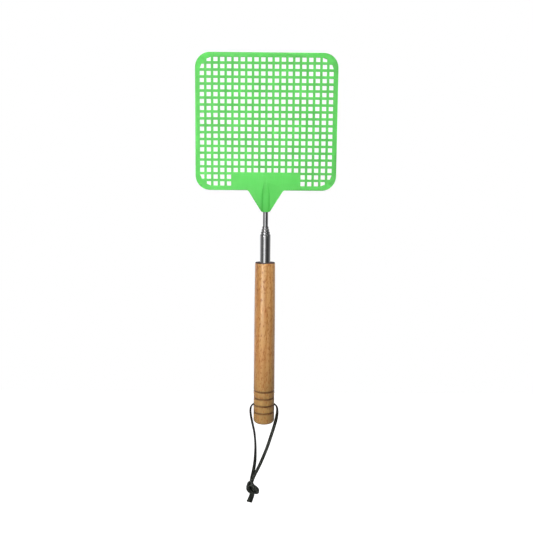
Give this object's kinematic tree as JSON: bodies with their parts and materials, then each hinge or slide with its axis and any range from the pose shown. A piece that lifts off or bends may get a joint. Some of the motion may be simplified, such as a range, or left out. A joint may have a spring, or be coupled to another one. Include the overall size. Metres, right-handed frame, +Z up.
{
  "type": "telescopic fly swatter",
  "caption": "Telescopic fly swatter: square green mesh head with a socketed neck, polished steel telescopic pole pushed in, turned wooden handle and a knotted leather hanging lace.",
  "frame": {"origin": "the middle of the grip: halfway up the wooden handle, on the pole's axis", "axes": "+Z up the pole from the butt to the mesh head, +X across the head's width, +Y through the thin head from its front face to its back face; the pole is pushed in"},
  "size_m": [0.1258, 0.0194, 0.415],
  "materials": {
    "lacquered_wood": "clear lacquer over a straight fine grain, dark in the grooves",
    "dark_bush": "dark brown moulded plastic, satin",
    "polished_steel": "polished stainless steel with faint drawn lines",
    "brass_shoe": "bare rolled brass, slightly greased",
    "black_plug": "plain moulded plastic",
    "green_plastic": "bright green moulded plastic, soft gloss",
    "leather_lace": "thin black waxed leather, worn smooth on the flats"
  },
  "bodies": {
    "handle": {"wooden_handle": "lacquered_wood", "handle_top_bush": "dark_bush", "outer_tube": "polished_steel", "outer_tube_plug": "black_plug"},
    "second_section": {"second_tube": "polished_steel", "second_tube_front_shoe": "brass_shoe", "second_tube_back_shoe": "brass_shoe"},
    "third_section": {"third_tube": "polished_steel", "third_tube_front_shoe": "brass_shoe", "third_tube_back_shoe": "brass_shoe"},
    "fourth_section": {"fourth_tube": "polished_steel", "fourth_tube_front_shoe": "brass_shoe", "fourth_tube_back_shoe": "brass_shoe"},
    "rod_carriage": {"rod_front_shoe": "brass_shoe", "rod_back_shoe": "brass_shoe"},
    "head": {"tip_rod": "polished_steel", "swatter_head": "green_plastic"},
    "lanyard": {"lanyard_left_strand": "leather_lace", "lanyard_right_strand": "leather_lace", "lanyard_knot": "leather_lace"}
  },
  "joints": [
    {"name": "second_slide", "type": "slide", "parent": "handle", "child": "second_section", "axis": [0, 0, 1], "range_m": [0, 0.1139]},
    {"name": "third_slide", "type": "slide", "parent": "second_section", "child": "third_section", "axis": [0, 0, 1], "range_m": [0, 0.1062]},
    {"name": "fourth_slide", "type": "slide", "parent": "third_section", "child": "fourth_section", "axis": [0, 0, 1], "range_m": [0, 0.0985]},
    {"name": "rod_slide", "type": "slide", "parent": "fourth_section", "child": "rod_carriage", "axis": [0, 0, 1], "range_m": [0, 0.0908]},
    {"name": "head_turn", "type": "hinge", "parent": "rod_carriage", "child": "head", "pos_m": [0, 0, 0.12], "axis": [0, 0, 1], "continuous": true},
    {"name": "lanyard_swing", "type": "hinge", "parent": "handle", "child": "lanyard", "pos_m": [0, 0, -0.05785], "axis": [1, 0, 0], "range_deg": [-150, 150]}
  ]
}
